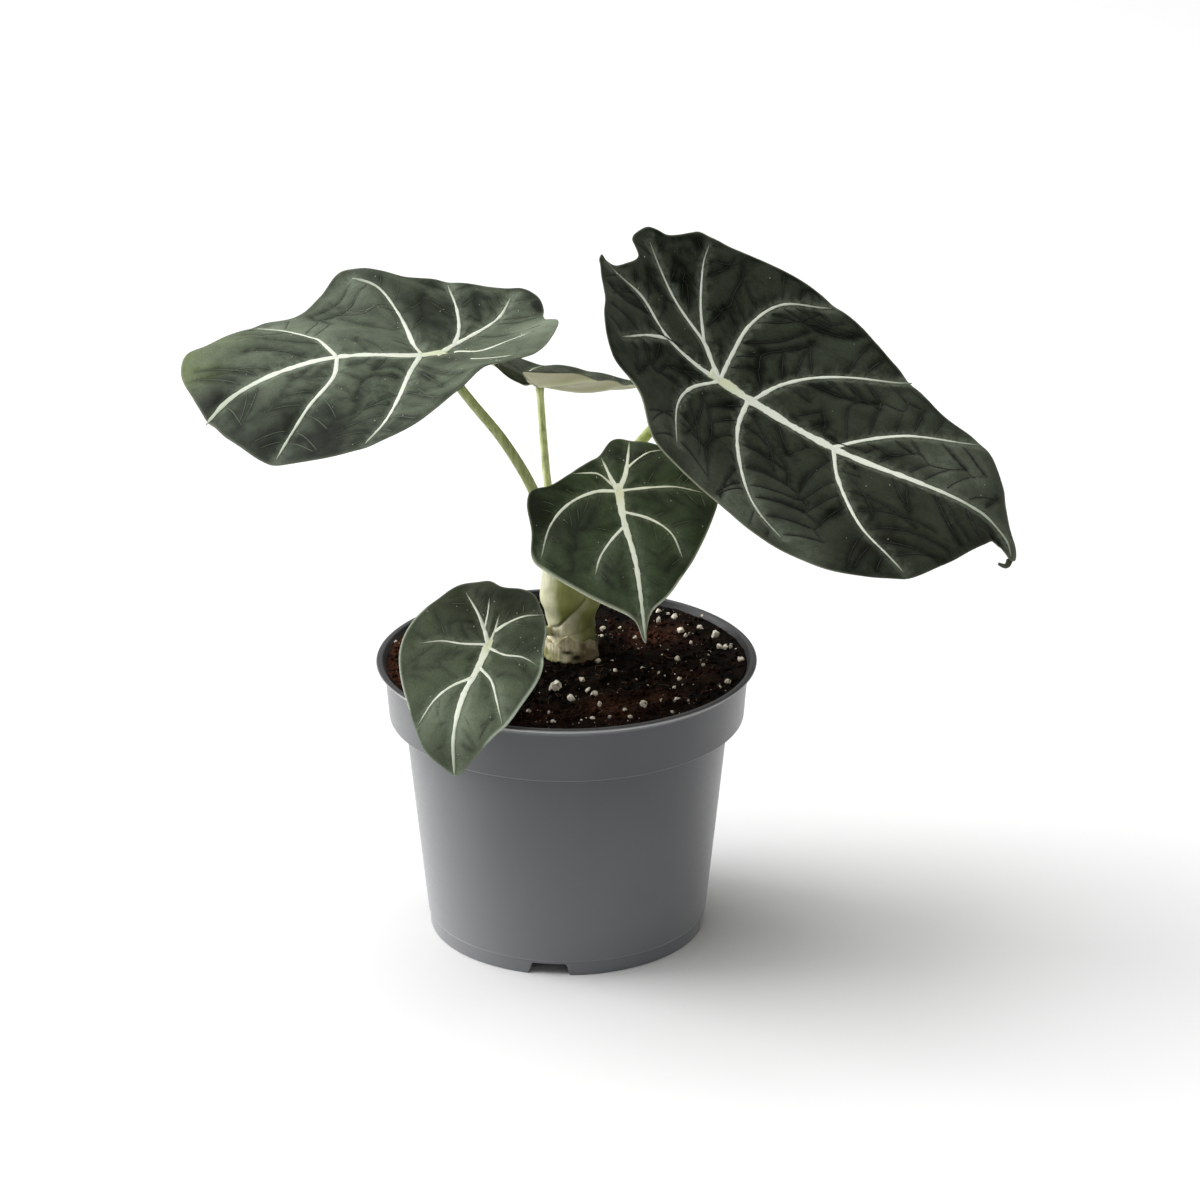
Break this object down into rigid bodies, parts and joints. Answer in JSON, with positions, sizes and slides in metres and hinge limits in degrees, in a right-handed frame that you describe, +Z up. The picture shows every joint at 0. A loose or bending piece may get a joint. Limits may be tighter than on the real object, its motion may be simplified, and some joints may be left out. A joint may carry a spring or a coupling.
{
  "type": "potted plant",
  "caption": "Small velvet-leaved houseplant with heart-shaped dark leaves and pale veins, standing in soil in a round nursery pot.",
  "frame": {"origin": "the middle of the whole plant's plan, on the surface that the pot stands on; the pot's axis stands at x -10.3 mm, y 5.7 mm", "axes": "+Z up along the pot's axis; the big right leaf leans to +X, the big left leaf to -X and the low leaf hangs over the rim to -Y"},
  "size_m": [0.252, 0.1315, 0.23],
  "materials": {
    "pot_plastic": "satin moulded polypropylene",
    "soil": "damp peat with white perlite grains",
    "rootstock": "smooth fleshy stalk bases",
    "dry_sheath": "dry papery skin",
    "stalk": "smooth waxy stalk",
    "blade_left": "velvet leaf with silver veins",
    "blade_right": "velvet leaf with silver veins",
    "blade_middle": "velvet leaf with silver veins",
    "blade_low": "velvet leaf with silver veins",
    "blade_back": "velvet leaf with a pale underside"
  },
  "bodies": {
    "root": {"pot": "pot_plastic", "soil": "soil", "rootstock": "rootstock", "dry_sheath": "dry_sheath", "stalk_left": "stalk", "stalk_right": "stalk", "stalk_middle": "stalk", "stalk_low": "stalk", "stalk_back": "stalk", "blade_left": "blade_left", "blade_right": "blade_right", "blade_middle": "blade_middle", "blade_low": "blade_low", "blade_back": "blade_back"}
  },
  "joints": []
}
